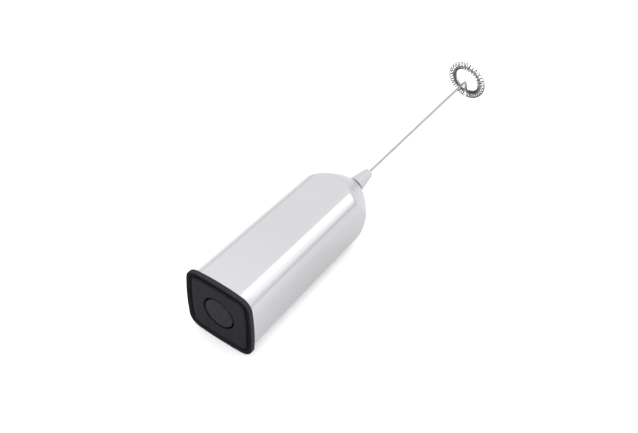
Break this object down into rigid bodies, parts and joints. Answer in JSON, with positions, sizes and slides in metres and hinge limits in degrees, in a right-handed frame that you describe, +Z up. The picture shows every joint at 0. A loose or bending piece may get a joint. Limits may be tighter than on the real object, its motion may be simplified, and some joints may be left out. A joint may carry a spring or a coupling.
{
  "type": "milk frother",
  "caption": "Hand-held battery milk frother: satin silver tapered square body with an arched nose, black end cap with a round push button, thin wire shaft and spring-coil whisk ring.",
  "frame": {"origin": "under the middle of the object's box, on the surface that it lies on", "axes": "+Y along the axis from the end cap to the whisk ring, +Z up, +X across"},
  "size_m": [0.04, 0.2076, 0.04],
  "materials": {
    "satin_silver": "satin silver plating on moulded plastic",
    "black_rubber": "matt soft rim",
    "black_plastic": "fine-textured black plastic",
    "grey_plastic": "plain moulded plastic",
    "white_plastic": "nylon end bell",
    "nickel": "nickel-plated sheet",
    "steel": "bright stainless wire and steel",
    "brass": "turned and stamped brass",
    "copper": "enamelled copper and copper alloy",
    "dark_iron": "stacked laminations",
    "ferrite": "sintered ferrite",
    "cell_sleeve": "printed shrink sleeve over a steel can",
    "red_wire": "insulated lead",
    "black_wire": "insulated lead"
  },
  "bodies": {
    "housing": {"housing_shell": "satin_silver", "nose_bush": "black_plastic", "battery_cradle": "grey_plastic", "front_contact_left": "nickel", "front_contact_right": "nickel", "motor_can": "nickel", "motor_end_bell": "white_plastic", "motor_terminal_left": "copper", "motor_terminal_right": "copper", "motor_bearing": "brass", "magnet_left": "ferrite", "magnet_right": "ferrite", "motor_bracket": "grey_plastic", "bracket_screw_1": "steel", "bracket_screw_2": "steel", "lead_red": "red_wire", "lead_black": "black_wire"},
    "whisk": {"motor_shaft": "steel", "armature_core": "dark_iron", "armature_winding_1": "copper", "armature_winding_2": "copper", "armature_winding_3": "copper", "commutator": "copper", "whisk_hub": "satin_silver", "whisk_wire": "steel", "whisk_coil": "steel"},
    "cap": {"end_cap": "black_plastic", "cap_rim": "black_rubber", "cap_panel": "black_plastic", "contact_carrier": "grey_plastic", "cap_contact_left": "nickel", "cap_contact_right": "nickel", "cap_spring_left": "nickel", "cap_spring_right": "nickel", "button_spring": "steel"},
    "button": {"button": "black_plastic", "contact_bridge": "brass", "bridge_clip": "steel"},
    "cells": {"cell_left": "cell_sleeve", "cell_right": "cell_sleeve"}
  },
  "joints": [
    {"name": "whisk_spin", "type": "hinge", "parent": "housing", "child": "whisk", "pos_m": [0, 0, 0.02], "axis": [0, 1, 0], "continuous": true},
    {"name": "cap_pull", "type": "slide", "parent": "housing", "child": "cap", "axis": [0, -1, 0], "range_m": [0, 0.075]},
    {"name": "button_press", "type": "slide", "parent": "cap", "child": "button", "axis": [0, 1, 0], "range_m": [0, 0.0015], "stiffness_N_per_m": 300, "springref_m": -0.002, "deforming": ["button_spring"]},
    {"name": "cells_slide", "type": "slide", "parent": "housing", "child": "cells", "axis": [0, -1, 0], "range_m": [0, 0.0661]}
  ],
  "couplings": [
    {"joint": "cells_slide", "follows": "cap_pull", "ratio": 0.88}
  ]
}
